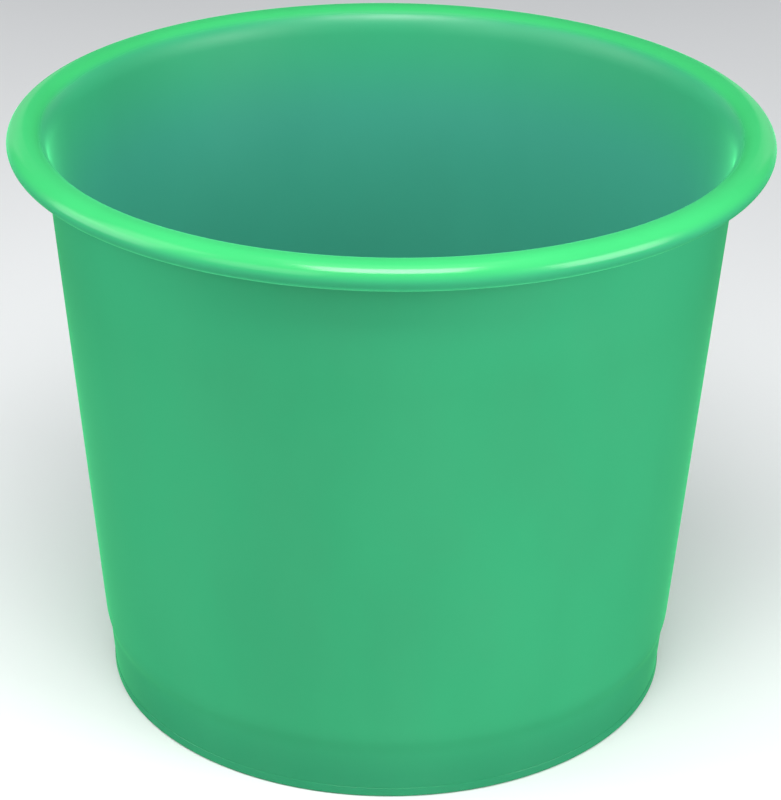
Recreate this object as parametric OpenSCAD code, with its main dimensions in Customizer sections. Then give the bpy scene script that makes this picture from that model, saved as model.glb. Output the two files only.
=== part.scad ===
// Florist bucket: a round, tapered display bucket in one gloss green plastic.
// The wall flares into a rolled rim at the mouth. Near the base it steps in, so that
// buckets nest without jamming, and it stands on a narrow foot ring.
// Each module is one zone of the moulding, and neighbouring zones meet face to face.
// Millimetres. Origin: centre of the face that it stands on. +Z points up.

/* [Overall size] */
// Outer diameter over the rolled rim
rim_d = 290; // [220:5:360]
// Height from the standing face to the top of the rim
height = 232; // [160:2:320]
// Thickness of the wall and of the rim
wall_t = 1.6; // [1.2:0.1:2.4]
// Lean of the wall away from vertical, in degrees
draft = 4.6; // [3:0.1:6]

/* [Rolled rim] */
// How far the rim reaches out past the wall's outer face
rim_overhang = 14; // [12:0.5:18]
// Height over which the wall flares into the rim
flare_h = 10.6; // [8:0.1:14]
// Width of the turned-down outer half of the rim
roll_w = 6.5; // [5:0.1:8]
// Drop from the rim's top to its widest point
roll_h = 5.3; // [4:0.1:6.5]
// How far the rim curls on below its widest point, in degrees
curl = 60; // [20:5:70]

/* [Base] */
// Height of the stacking step's upper edge
step_z = 26; // [20:1:40]
// How far the wall sets in at the stacking step
step_in = 1; // [0.5:0.1:1.5]
// Height of the sloping face of the stacking step
step_h = 5; // [1:0.5:6]
// Height of the foot ring, which is also the hollow under the floor
foot_h = 3.6; // [2:0.2:3.8]
// Width of the foot ring
foot_w = 3; // [2.4:0.1:5]
// How far the foot ring stands out past the band above it
foot_proud = 0.2; // [0.1:0.05:1]
// Rounding of the foot ring's lower outer corner
foot_round = 0.6; // [0.5:0.1:1.8]
// Thickness of the floor
floor_t = 2; // [1.4:0.1:4]
// Rounding between the floor and the wall, inside
floor_round = 4; // [2:0.5:6]
// Radius of the moulding gate's mark under the floor
gate_r = 3.5; // [2:0.5:5]
// Depth of the moulding gate's mark
gate_h = 0.8; // [0.4:0.1:1.2]

/* [Hidden] */
plastic = [0.22, 0.68, 0.45];
turn_fn = 180;
curve_steps = 16;

// The neck is where the straight wall ends and the rim's flare starts.
neck = [rim_d / 2 - rim_overhang, height - flare_h];
// The top of the rim, and the centre that its outer half curls about
crown = [rim_d / 2 - roll_w, height];
roll_centre = crown - [0, roll_h];
roll_outer = [roll_w, roll_h];
roll_inner = roll_outer - [wall_t, wall_t];

band_top = step_z - step_h;
foot_r = band_r(foot_h) + foot_proud;
floor_top = foot_h + floor_t;
// Radius at which the flat floor ends and its rounded corner starts
floor_edge = band_r(floor_top) - wall_t - floor_round;

// Outer radius of the straight wall, carried on to any height z
function wall_r(z) = neck[0] - (neck[1] - z) * tan(draft);

// Outer radius of the band below the stacking step
function band_r(z) = wall_r(z) - step_in;

// Points on an ellipse's arc, from angle a0 to angle a1
function arc(centre, half_axes, a0, a1) = [
  for (i = [0 : curve_steps])
    let (a = a0 + (a1 - a0) * i / curve_steps)
      centre + [half_axes[0] * cos(a), half_axes[1] * sin(a)]
];

// Points on the curve that leaves p0 towards p1 and reaches p2 from p1
function bend(p0, p1, p2) = [
  for (i = [0 : curve_steps])
    let (t = i / curve_steps)
      (1 - t) * (1 - t) * p0 + 2 * t * (1 - t) * p1 + t * t * p2
];

// A point list in the opposite order
function backwards(points) = [for (i = [len(points) - 1 : -1 : 0]) points[i]];

// Section of a wall of even thickness between two heights, from its outer radii
function sleeve(r0, z0, r1, z1) = [
  [r0 - wall_t, z0],
  [r0, z0],
  [r1, z1],
  [r1 - wall_t, z1]
];

// A section turned about the bucket's axis
module turned(section) {
  color(plastic) rotate_extrude($fn = turn_fn) polygon(section);
}

// The mouth: the wall bends outwards, up to the top of the rim.
module rim_flare() {
  above = bend(
    neck - [wall_t, 0],
    [wall_r(height) - wall_t, height],
    crown
  );
  below = bend(
    neck,
    [wall_r(height - wall_t), height - wall_t],
    crown - [0, wall_t]
  );
  turned(concat(below, backwards(above)));
}

// The outer half of the rim: it turns down, curls under and ends in a rounded free edge.
module rim_roll() {
  free_edge = roll_centre + [
    (roll_w - wall_t / 2) * cos(curl),
    -(roll_h - wall_t / 2) * sin(curl)
  ];
  turned(concat(
    arc(roll_centre, roll_outer, 90, -curl),
    arc(free_edge, [wall_t / 2, wall_t / 2], -curl, -curl - 180),
    arc(roll_centre, roll_inner, -curl, 90)
  ));
}

// The tapered wall, from the stacking step up to the rim's flare
module side_wall() {
  turned(sleeve(wall_r(step_z), step_z, neck[0], neck[1]));
}

// The shoulder that sets the wall in, and that a nested bucket rests on
module stacking_step() {
  turned(sleeve(band_r(band_top), band_top, wall_r(step_z), step_z));
}

// The lower wall, between the foot ring and the stacking step
module base_band() {
  turned(sleeve(band_r(foot_h), foot_h, band_r(band_top), band_top));
}

// The rounded inside corner, where the floor turns up into the wall
module floor_corner() {
  corner_top = floor_top + floor_round;
  turned(concat(
    [[floor_edge, foot_h], [band_r(foot_h) - wall_t, foot_h]],
    bend(
      [band_r(corner_top) - wall_t, corner_top],
      [band_r(floor_top) - wall_t, floor_top],
      [floor_edge, floor_top]
    )
  ));
}

// The flat floor, with the gate's mark in the middle of its underside
module floor_panel() {
  turned([
    [0, foot_h - gate_h],
    [gate_r, foot_h - gate_h],
    [gate_r, foot_h],
    [floor_edge, foot_h],
    [floor_edge, floor_top],
    [0, floor_top]
  ]);
}

// The ring that the bucket stands on
module foot_ring() {
  turned(concat(
    [[foot_r - foot_w, 0]],
    arc([foot_r - foot_round, foot_round], [foot_round, foot_round], -90, 0),
    [[foot_r, foot_h], [foot_r - foot_w, foot_h]]
  ));
}

rim_flare();
rim_roll();
side_wall();
stacking_step();
base_band();
floor_corner();
floor_panel();
foot_ring();
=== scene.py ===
"""The look of the florist bucket: one gloss green moulding on a pale floor in soft studio light.

Metres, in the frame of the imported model. The moulding is turned about Z, so its shape is one
outline of (radius, height) points. Each zone of the moulding is a stretch of that outline
between two cuts.
"""

import math

import bpy
from mathutils import Matrix, Vector


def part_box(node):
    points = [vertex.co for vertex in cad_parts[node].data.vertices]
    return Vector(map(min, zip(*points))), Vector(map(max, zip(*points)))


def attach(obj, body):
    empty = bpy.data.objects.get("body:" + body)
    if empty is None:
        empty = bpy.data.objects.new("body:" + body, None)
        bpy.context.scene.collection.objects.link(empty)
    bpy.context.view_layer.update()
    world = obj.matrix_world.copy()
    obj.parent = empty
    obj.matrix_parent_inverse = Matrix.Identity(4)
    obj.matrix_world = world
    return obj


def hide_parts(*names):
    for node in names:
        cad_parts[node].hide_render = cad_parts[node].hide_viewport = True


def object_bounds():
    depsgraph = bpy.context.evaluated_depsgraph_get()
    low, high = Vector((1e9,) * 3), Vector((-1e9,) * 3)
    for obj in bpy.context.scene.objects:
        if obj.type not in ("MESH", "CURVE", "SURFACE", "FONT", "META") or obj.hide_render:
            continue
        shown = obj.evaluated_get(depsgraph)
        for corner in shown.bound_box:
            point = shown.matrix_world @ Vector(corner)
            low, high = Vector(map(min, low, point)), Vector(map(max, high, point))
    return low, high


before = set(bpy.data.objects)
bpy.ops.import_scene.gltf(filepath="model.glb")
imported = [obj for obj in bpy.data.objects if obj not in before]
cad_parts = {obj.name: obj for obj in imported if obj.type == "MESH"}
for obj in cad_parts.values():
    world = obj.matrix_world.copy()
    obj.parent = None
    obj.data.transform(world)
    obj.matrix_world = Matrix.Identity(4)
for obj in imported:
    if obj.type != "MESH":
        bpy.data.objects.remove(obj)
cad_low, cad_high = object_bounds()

# ---- sizes of the moulding that the frame's boxes don't give ----
WALL_T = 0.0016
ROLL_DROP = 0.0053
CURL = math.radians(60)
FOOT_W = 0.003
FOOT_ROUND = 0.0006
GATE_R = 0.0035

# ---- fineness of the mesh ----
TURN_STEPS = 256
ARC_STEPS = 24
SOFT_STEPS = 6
ROW_PITCH = 0.006
DEPTH_NAME = "depth_inside"

# ---- the plastic's colours, in linear RGB, some of them painted light and painted shade ----
OUTSIDE = (0.038, 0.365, 0.162)
# Painted light: a lighter green for the top of the wall under the rim, where the rim's shade falls,
# and for the inside just below the mouth
SHOULDER_PAINTED_LIGHT = (0.042, 0.410, 0.187)
# Painted shade: a deeper, bluer green that stands in for the shade far down inside
INSIDE_PAINTED_SHADE = (0.057, 0.380, 0.272)
# Painted light: a lighter, yellower green for the rim's top, standing in for the overhead light
# that falls on it
RIM_PAINTED_LIGHT = (0.048, 0.520, 0.155)
# Painted shade: a darker green round the base, standing in for the shade near the floor
BASE_PAINTED_SHADE = (0.032, 0.300, 0.140)

# ---- where one colour fades into the next ----
# Distances below the top of the rim
SHOULDER_PAINTED_LIGHT_FADE = (0.060, 0.018)
RIM_PAINTED_LIGHT_FADE = (0.0068, 0.0018)
# Heights above the standing face
BASE_PAINTED_SHADE_FADE = (0.034, 0.006)
# Depths inside the mouth, as a share of the bucket's height
MOUTH_FADE = (0.003, 0.016)
INSIDE_PAINTED_SHADE_FADE = (0.01, 0.22)

# ---- the plastic's gloss ----
ROUGHNESS = (0.17, 0.23)
DULLER_INSIDE = 0.2
DULLER_FADE = (0.002, 0.02)

# ---- studio ----
FLOOR_RADIUS = 12.0
FLOOR_SIDES = 96
# Keeps the floor just clear of the face that stands on it
FLOOR_GAP = 0.0002
# Less than a half turn, so that the light fades towards each lamp's sides
SOFTBOX_SPREAD = math.radians(130)

# ---- rounding of the moulding's creases: how far it reaches along each side ----
SOFT_STEP = 0.0022
SOFT_FOOT = 0.0005
SOFT_LEDGE = 0.00009
SOFT_GATE = 0.0003


# ---------------------------------------------------------------- outline


def arc(centre, half_axes, start, end, steps=ARC_STEPS):
    """Points on an ellipse's arc between two angles."""
    points = []
    for i in range(steps + 1):
        angle = start + (end - start) * i / steps
        offset = Vector((half_axes[0] * math.cos(angle), half_axes[1] * math.sin(angle)))
        points.append(centre + offset)
    return points


def bend(first, through, last, steps=ARC_STEPS):
    """Points on the curve that leaves first towards through and reaches last from it."""
    points = []
    for i in range(steps + 1):
        t = i / steps
        points.append(first * (1 - t) ** 2 + through * (2 * t * (1 - t)) + last * t**2)
    return points


def row(first, last, pitch=ROW_PITCH):
    """Points spread evenly on a straight stretch, without its two ends."""
    count = max(1, round((last - first).length / pitch))
    return [first.lerp(last, i / count) for i in range(1, count)]


class Outline:
    """The moulding's outline, built up in order. Cuts between zones are kept by name."""

    def __init__(self):
        self.knots = []

    def add(self, points, cut_at_end=None):
        """Adds smooth points. The last of them may be a cut."""
        for point in points:
            self.knots.append((point, 0.0, None))
        if cut_at_end:
            self.knots[-1] = (points[-1], 0.0, cut_at_end)

    def crease(self, point, soft, cut=None):
        """Adds a corner that is rounded over a distance of soft on each side."""
        self.knots.append((point, soft, cut))

    def finished(self):
        """All points with the corners rounded, and the index of each cut."""
        points, cuts = [], {}
        for i, (point, soft, cut) in enumerate(self.knots):
            if soft:
                before, after = self.knots[i - 1][0], self.knots[i + 1][0]
                first = point + (before - point).normalized() * soft
                last = point + (after - point).normalized() * soft
                curve = bend(first, point, last, SOFT_STEPS)
            else:
                curve = [point]
            if cut:
                cuts[cut] = len(points) + len(curve) // 2
            points += curve
        return points, cuts


def moulding_outline():
    """Runs from the middle of the underside, out and up to the rim, and back down inside."""
    rim_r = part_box("rim_roll")[1].x
    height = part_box("rim_flare")[1].z
    crown = Vector((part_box("rim_flare")[1].x, height))
    neck = Vector((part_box("side_wall")[1].x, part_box("side_wall")[1].z))
    wall_foot = Vector((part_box("stacking_step")[1].x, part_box("side_wall")[0].z))
    band_top = Vector((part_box("base_band")[1].x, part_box("base_band")[1].z))
    foot_r, foot_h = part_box("foot_ring")[1].x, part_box("foot_ring")[1].z
    floor_r, floor_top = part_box("floor_panel")[1].x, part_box("floor_panel")[1].z
    corner_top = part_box("floor_corner")[1].z
    gate_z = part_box("floor_panel")[0].z
    lean = (neck.x - wall_foot.x) / (neck.y - wall_foot.y)

    def on_line(below, z):
        return Vector((below.x + lean * (z - below.y), z))

    inward = Vector((-WALL_T, 0))
    down = Vector((0, -WALL_T))
    band_foot = on_line(band_top, foot_h)
    line = Outline()

    # Underside: the gate's mark, the floor, the inside of the foot ring, and its standing face
    line.add([Vector((0, gate_z)), Vector((GATE_R / 2, gate_z))])
    line.crease(Vector((GATE_R, gate_z)), SOFT_GATE)
    line.crease(Vector((GATE_R, foot_h)), SOFT_GATE)
    floor_edge = Vector((floor_r, foot_h))
    line.add(row(Vector((GATE_R, foot_h)), floor_edge) + [floor_edge], "floor_panel below")
    line.crease(Vector((foot_r - FOOT_W, foot_h)), SOFT_FOOT, "foot_ring inside")
    line.crease(Vector((foot_r - FOOT_W, 0)), SOFT_FOOT)
    round_centre = Vector((foot_r - FOOT_ROUND, FOOT_ROUND))
    line.add(arc(round_centre, (FOOT_ROUND, FOOT_ROUND), -math.pi / 2, 0, 12))

    # Outside: the ledge over the foot ring, the band, the stacking step and the wall
    line.crease(Vector((foot_r, foot_h)), SOFT_LEDGE)
    line.crease(band_foot, SOFT_LEDGE, "foot_ring outside")
    line.add(row(band_foot, band_top))
    line.crease(band_top, SOFT_STEP, "base_band outside")
    line.crease(wall_foot, SOFT_STEP, "stacking_step outside")
    line.add(row(wall_foot, neck))

    # Rim: the flare's underside, the hollow of the roll, its free edge, and back over the top
    flare_corner = on_line(neck, height - WALL_T)
    line.add([neck], "side_wall outside")
    line.add(bend(neck, flare_corner, crown + down)[1:], "rim_flare below")
    roll_centre = crown - Vector((0, ROLL_DROP))
    outer = (rim_r - crown.x, ROLL_DROP)
    inner = (outer[0] - WALL_T, outer[1] - WALL_T)
    half = WALL_T / 2
    free_edge = arc(roll_centre, (outer[0] - half, outer[1] - half), -CURL, -CURL, 1)[0]
    line.add(arc(roll_centre, inner, math.pi / 2, -CURL)[1:])
    line.add(arc(free_edge, (half, half), -CURL - math.pi, -CURL, 12)[1:-1])
    line.add(arc(roll_centre, outer, -CURL, math.pi / 2), "rim_roll top")
    flare_inside = on_line(neck, height) + inward
    line.add(bend(crown, flare_inside, neck + inward)[1:], "rim_flare inside")

    # Inside: the wall, the step, the band, the rounded corner and the floor
    line.add(row(neck + inward, wall_foot + inward))
    line.crease(wall_foot + inward, SOFT_STEP, "stacking_step inside")
    line.crease(band_top + inward, SOFT_STEP, "base_band inside")
    corner = on_line(band_top, corner_top) + inward
    turn = on_line(band_top, floor_top) + inward
    line.add(row(band_top + inward, corner))
    line.add([corner], "floor_corner inside")
    floor_inside = Vector((floor_r, floor_top))
    line.add(bend(corner, turn, floor_inside, 12)[1:], "floor_panel inside")
    line.add(row(floor_inside, Vector((0, floor_top))) + [Vector((0, floor_top))])
    return line.finished()


def outline_normals(points):
    """The direction away from the plastic at each point. The two ends lie on the axis."""
    normals = []
    last = len(points) - 1
    for i in range(last + 1):
        along = points[min(i + 1, last)] - points[max(i - 1, 0)]
        normals.append(Vector((along.y, -along.x)).normalized())
    normals[0] = Vector((0, -1))
    normals[last] = Vector((0, 1))
    return normals


# ---------------------------------------------------------------- meshes


def turned(name, section, normals, depths):
    """A closed solid from a section turned about Z.

    normals holds, for each point, the skin's direction on the face before it and on the face after
    it, or None where that face is a cut, which is flat. depths is kept for the material.
    """
    verts, rings, depth_values = [], [], []
    for point, depth in zip(section, depths):
        on_axis = point.x < 1e-9
        ring = []
        for k in range(1 if on_axis else TURN_STEPS):
            turn = math.tau * k / TURN_STEPS
            ring.append(len(verts))
            verts.append((point.x * math.cos(turn), point.x * math.sin(turn), point.y))
            depth_values.append(depth)
        rings.append(ring)

    faces, shading = [], []
    for i, (ring, point) in enumerate(zip(rings, section)):
        j = (i + 1) % len(section)
        if len(ring) == 1 and len(rings[j]) == 1:
            continue
        along = section[j] - point
        flat = Vector((along.y, -along.x)).normalized()
        here, there = normals[i][1] or flat, normals[j][0] or flat
        for k in range(TURN_STEPS):
            n = (k + 1) % TURN_STEPS
            corners = [(ring, k, here), (ring, n, here), (rings[j], n, there), (rings[j], k, there)]
            if len(ring) == 1:
                corners = [(ring, 0, here), corners[2], corners[3]]
            elif len(rings[j]) == 1:
                corners = [corners[0], corners[1], (rings[j], 0, there)]
            faces.append([r[c] for r, c, _ in corners])
            for r, c, normal in corners:
                turn = math.tau * (c if len(r) > 1 else k + 0.5) / TURN_STEPS
                shading.append(
                    (normal.x * math.cos(turn), normal.x * math.sin(turn), normal.y)
                )

    mesh = bpy.data.meshes.new(name)
    mesh.from_pydata(verts, [], faces)
    mesh.shade_smooth()
    mesh.normals_split_custom_set(shading)
    mesh.attributes.new(DEPTH_NAME, "FLOAT", "POINT").data.foreach_set("value", depth_values)
    piece = bpy.data.objects.new(name, mesh)
    bpy.context.scene.collection.objects.link(piece)
    return piece


def zone(name, points, normals, depths, runs, joint=None):
    """One zone: the stretches of the outline in runs, closed by cuts. joint is an extra corner."""
    section, pairs, section_depths = [], [], []
    for first, last in runs:
        for i in range(first, last + 1):
            section.append(points[i])
            section_depths.append(depths[i])
            pairs.append(
                (normals[i] if i > first else None, normals[i] if i < last else None)
            )
        if joint and (first, last) == runs[0]:
            section.append(joint)
            section_depths.append(0.0)
            pairs.append((None, None))
    return turned(name, section, pairs, section_depths)


def build_moulding():
    """All eight zones, by the name of the CAD node that each stands for."""
    points, cuts = moulding_outline()
    normals = outline_normals(points)
    end = len(points) - 1
    top = cuts["rim_roll top"]
    depths = [0.0 if i < top else 1 - point.y / points[top].y for i, point in enumerate(points)]
    foot_in, foot_out = cuts["foot_ring inside"], cuts["foot_ring outside"]

    # Foot ring, band and floor corner meet at one point inside the plastic.
    corner = points[cuts["floor_corner inside"]]
    share = (corner.x - points[foot_in].x) / (points[foot_out].x - points[foot_in].x)
    meeting = points[foot_in].lerp(points[foot_out], share)

    runs = {
        "floor_panel": [(0, cuts["floor_panel below"]), (cuts["floor_panel inside"], end)],
        "floor_corner": [
            (cuts["floor_panel below"], foot_in),
            (cuts["floor_corner inside"], cuts["floor_panel inside"]),
        ],
        "foot_ring": [(foot_in, foot_out)],
        "base_band": [
            (cuts["base_band inside"], cuts["floor_corner inside"]),
            (foot_out, cuts["base_band outside"]),
        ],
        "stacking_step": [
            (cuts["base_band outside"], cuts["stacking_step outside"]),
            (cuts["stacking_step inside"], cuts["base_band inside"]),
        ],
        "side_wall": [
            (cuts["stacking_step outside"], cuts["side_wall outside"]),
            (cuts["rim_flare inside"], cuts["stacking_step inside"]),
        ],
        "rim_flare": [
            (cuts["side_wall outside"], cuts["rim_flare below"]),
            (cuts["rim_roll top"], cuts["rim_flare inside"]),
        ],
        "rim_roll": [(cuts["rim_flare below"], cuts["rim_roll top"])],
    }
    three_way = ("floor_corner", "foot_ring", "base_band")
    return {
        node: zone(
            node + "_skin", points, normals, depths, spans, meeting if node in three_way else None
        )
        for node, spans in runs.items()
    }


# ---------------------------------------------------------------- materials


def moulded_plastic():
    """Gloss green plastic, coloured through, with the faint unevenness of a moulding, and with
    light and shade painted into its colour.
    """
    material = bpy.data.materials.new("moulded_plastic_look")
    material.use_nodes = True
    tree = material.node_tree
    shader = tree.nodes["Principled BSDF"]
    shader.inputs["IOR"].default_value = 1.49
    shader.inputs["Sheen Weight"].default_value = 1.0
    shader.inputs["Sheen Roughness"].default_value = 0.3
    shader.inputs["Sheen Tint"].default_value = (0.15, 1.0, 0.40, 1)
    place = tree.nodes.new("ShaderNodeTexCoord").outputs["Object"]

    def stretched_noise(scale, detail):
        mapping = tree.nodes.new("ShaderNodeMapping")
        mapping.inputs["Scale"].default_value = scale
        tree.links.new(place, mapping.inputs["Vector"])
        noise = tree.nodes.new("ShaderNodeTexNoise")
        noise.inputs["Scale"].default_value = 1
        noise.inputs["Detail"].default_value = detail
        tree.links.new(mapping.outputs["Vector"], noise.inputs["Vector"])
        return noise.outputs["Fac"]

    def ramp(value, start, end, low=0.0, high=1.0):
        node = tree.nodes.new("ShaderNodeMapRange")
        node.interpolation_type = "SMOOTHSTEP"
        node.inputs["From Min"].default_value = start
        node.inputs["From Max"].default_value = end
        node.inputs["To Min"].default_value = low
        node.inputs["To Max"].default_value = high
        tree.links.new(value, node.inputs["Value"])
        return node.outputs["Result"]

    def blended(first, second, share):
        node = tree.nodes.new("ShaderNodeMix")
        node.data_type = "RGBA"
        for name, colour in (("A", first), ("B", second)):
            if isinstance(colour, tuple):
                node.inputs[name].default_value = (*colour, 1)
            else:
                tree.links.new(colour, node.inputs[name])
        tree.links.new(share, node.inputs["Factor"])
        return node.outputs["Result"]

    # Colour: painted light makes it lighter along the rim and just under it; painted shade makes it
    # deeper and bluer far inside and darker round the base
    depth = tree.nodes.new("ShaderNodeAttribute")
    depth.attribute_name = DEPTH_NAME
    inside = depth.outputs["Fac"]
    split = tree.nodes.new("ShaderNodeSeparateXYZ")
    tree.links.new(place, split.inputs[0])
    height = split.outputs["Z"]
    shoulder_light_heights = [cad_high.z - drop for drop in SHOULDER_PAINTED_LIGHT_FADE]
    rim_light_heights = [cad_high.z - drop for drop in RIM_PAINTED_LIGHT_FADE]
    outer = blended(OUTSIDE, SHOULDER_PAINTED_LIGHT, ramp(height, *shoulder_light_heights))
    outer = blended(outer, RIM_PAINTED_LIGHT, ramp(height, *rim_light_heights))
    inner = blended(SHOULDER_PAINTED_LIGHT, INSIDE_PAINTED_SHADE, ramp(inside, *INSIDE_PAINTED_SHADE_FADE))
    colour = blended(outer, inner, ramp(inside, *MOUTH_FADE))
    colour = blended(colour, BASE_PAINTED_SHADE, ramp(height, *BASE_PAINTED_SHADE_FADE))

    # Pigment: slow clouds, drawn out a little in the direction that the plastic flowed
    clouds = stretched_noise((18, 18, 9), 3)
    shade = tree.nodes.new("ShaderNodeHueSaturation")
    tree.links.new(ramp(clouds, 0.3, 0.7, 0.97, 1.03), shade.inputs["Value"])
    tree.links.new(colour, shade.inputs["Color"])
    tree.links.new(shade.outputs["Color"], shader.inputs["Base Color"])

    # Gloss: a little duller in patches, and duller inside, where the mould is less polished
    patches = stretched_noise((40, 40, 25), 4)
    duller = tree.nodes.new("ShaderNodeMath")
    tree.links.new(ramp(patches, 0.3, 0.7, *ROUGHNESS), duller.inputs[0])
    tree.links.new(ramp(inside, *DULLER_FADE, 0.0, DULLER_INSIDE), duller.inputs[1])
    tree.links.new(duller.outputs["Value"], shader.inputs["Roughness"])

    # Surface: faint upright draw lines from the mould, and a fine orange peel
    lines = stretched_noise((420, 420, 14), 2)
    peel = stretched_noise((650, 650, 650), 1)
    total = tree.nodes.new("ShaderNodeMath")
    total.operation = "MULTIPLY_ADD"
    total.inputs[1].default_value = 0.5
    tree.links.new(peel, total.inputs[0])
    tree.links.new(lines, total.inputs[2])
    bump = tree.nodes.new("ShaderNodeBump")
    bump.inputs["Strength"].default_value = 0.3
    bump.inputs["Distance"].default_value = 0.00002
    tree.links.new(total.outputs["Value"], bump.inputs["Height"])
    tree.links.new(bump.outputs["Normal"], shader.inputs["Normal"])
    return material


def pale_floor():
    """Matt off-white studio floor with a barely visible mottle."""
    material = bpy.data.materials.new("studio_floor_look")
    material.use_nodes = True
    tree = material.node_tree
    shader = tree.nodes["Principled BSDF"]
    shader.inputs["Roughness"].default_value = 0.9
    noise = tree.nodes.new("ShaderNodeTexNoise")
    noise.inputs["Scale"].default_value = 6
    tint = tree.nodes.new("ShaderNodeMix")
    tint.data_type = "RGBA"
    tint.inputs["A"].default_value = (0.90, 0.90, 0.90, 1)
    tint.inputs["B"].default_value = (0.92, 0.92, 0.92, 1)
    tree.links.new(noise.outputs["Fac"], tint.inputs["Factor"])
    tree.links.new(tint.outputs["Result"], shader.inputs["Base Color"])
    return material


# ---------------------------------------------------------------- studio


def add_floor():
    """A wide round floor at the height of the face that the bucket stands on."""
    turns = [math.tau * k / FLOOR_SIDES for k in range(FLOOR_SIDES)]
    verts = [(FLOOR_RADIUS * math.cos(turn), FLOOR_RADIUS * math.sin(turn), 0) for turn in turns]
    mesh = bpy.data.meshes.new("studio_floor")
    mesh.from_pydata(verts, [], [list(range(FLOOR_SIDES))])
    floor = bpy.data.objects.new("studio_floor", mesh)
    floor.location.z = cad_low.z - FLOOR_GAP
    bpy.context.scene.collection.objects.link(floor)
    mesh.materials.append(pale_floor())
    floor.visible_glossy = False


def add_softbox(name, azimuth, elevation, distance, size, power):
    """A rectangular area light that faces the bucket. Azimuth 0 is the camera's side."""
    a, e = math.radians(azimuth), math.radians(elevation)
    aim = Vector((0, 0, (cad_low.z + cad_high.z) / 2))
    away = Vector((math.sin(a) * math.cos(e), -math.cos(a) * math.cos(e), math.sin(e)))
    data = bpy.data.lights.new(name, "AREA")
    data.shape = "RECTANGLE"
    data.size, data.size_y = size
    data.energy = power
    data.spread = SOFTBOX_SPREAD
    lamp = bpy.data.objects.new(name, data)
    lamp.location = aim + away * distance
    lamp.rotation_mode = "QUATERNION"
    lamp.rotation_quaternion = away.to_track_quat("Z", "Y")
    lamp.visible_camera = False
    bpy.context.scene.collection.objects.link(lamp)


def add_lights():
    """A key over the front of the mouth, a box above, panels round the front and edge lamps."""
    add_softbox("key_front", 0, 61, 0.72, (0.36, 0.30), 1.73)
    add_softbox("box_above", 0, 84, 0.95, (0.55, 0.55), 0.49)
    add_softbox("panel_left_low", -85, 14, 1.0, (0.70, 0.60), 1.46)
    add_softbox("panel_left_high", -80, 40, 1.0, (0.50, 0.50), 0.65)
    add_softbox("panel_left_front", -35, 25, 1.1, (0.60, 0.60), 0.81)
    add_softbox("panel_right", 61, 15, 1.0, (0.60, 0.60), 2.70)
    add_softbox("edge_left", -150, 10, 1.0, (0.40, 0.60), 0.16)
    add_softbox("edge_right", 150, 10, 1.0, (0.40, 0.60), 0.16)


def add_world():
    """Even, pale surroundings. Only their diffuse light reaches the plastic."""
    world = bpy.data.worlds.new("studio_surroundings")
    world.use_nodes = True
    shade = world.node_tree.nodes["Background"]
    shade.inputs["Color"].default_value = (0.94, 0.97, 1.0, 1)
    shade.inputs["Strength"].default_value = 0.50
    world.cycles_visibility.glossy = False
    bpy.context.scene.world = world


def add_camera():
    """The camera looks down at the middle of the bucket from in front."""
    elevation = math.radians(26.28)
    roll = math.radians(0.62)
    distance = 1.0372
    aim = Vector((0.00066, 0, 0.11206))
    forward = Vector((0, math.cos(elevation), -math.sin(elevation)))
    level, up = Vector((1, 0, 0)), Vector((0, math.sin(elevation), math.cos(elevation)))
    right = level * math.cos(roll) + up * math.sin(roll)
    top = up * math.cos(roll) - level * math.sin(roll)
    data = bpy.data.cameras.new("studio_camera")
    data.sensor_width = 36
    data.lens = 117
    camera = bpy.data.objects.new("studio_camera", data)
    turn = Matrix((right, top, -forward)).transposed()
    camera.matrix_world = Matrix.Translation(aim - forward * distance) @ turn.to_4x4()
    bpy.context.scene.collection.objects.link(camera)
    bpy.context.scene.camera = camera


def set_view():
    """Plain display colours, so that the plastic keeps its own."""
    view = bpy.context.scene.view_settings
    view.view_transform = "Standard"
    view.look = "None"


# ---------------------------------------------------------------- the scene

plastic = moulded_plastic()
for node, piece in build_moulding().items():
    piece.data.materials.append(plastic)
    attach(piece, "root")
    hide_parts(node)

add_floor()
add_lights()
add_world()
add_camera()
set_view()
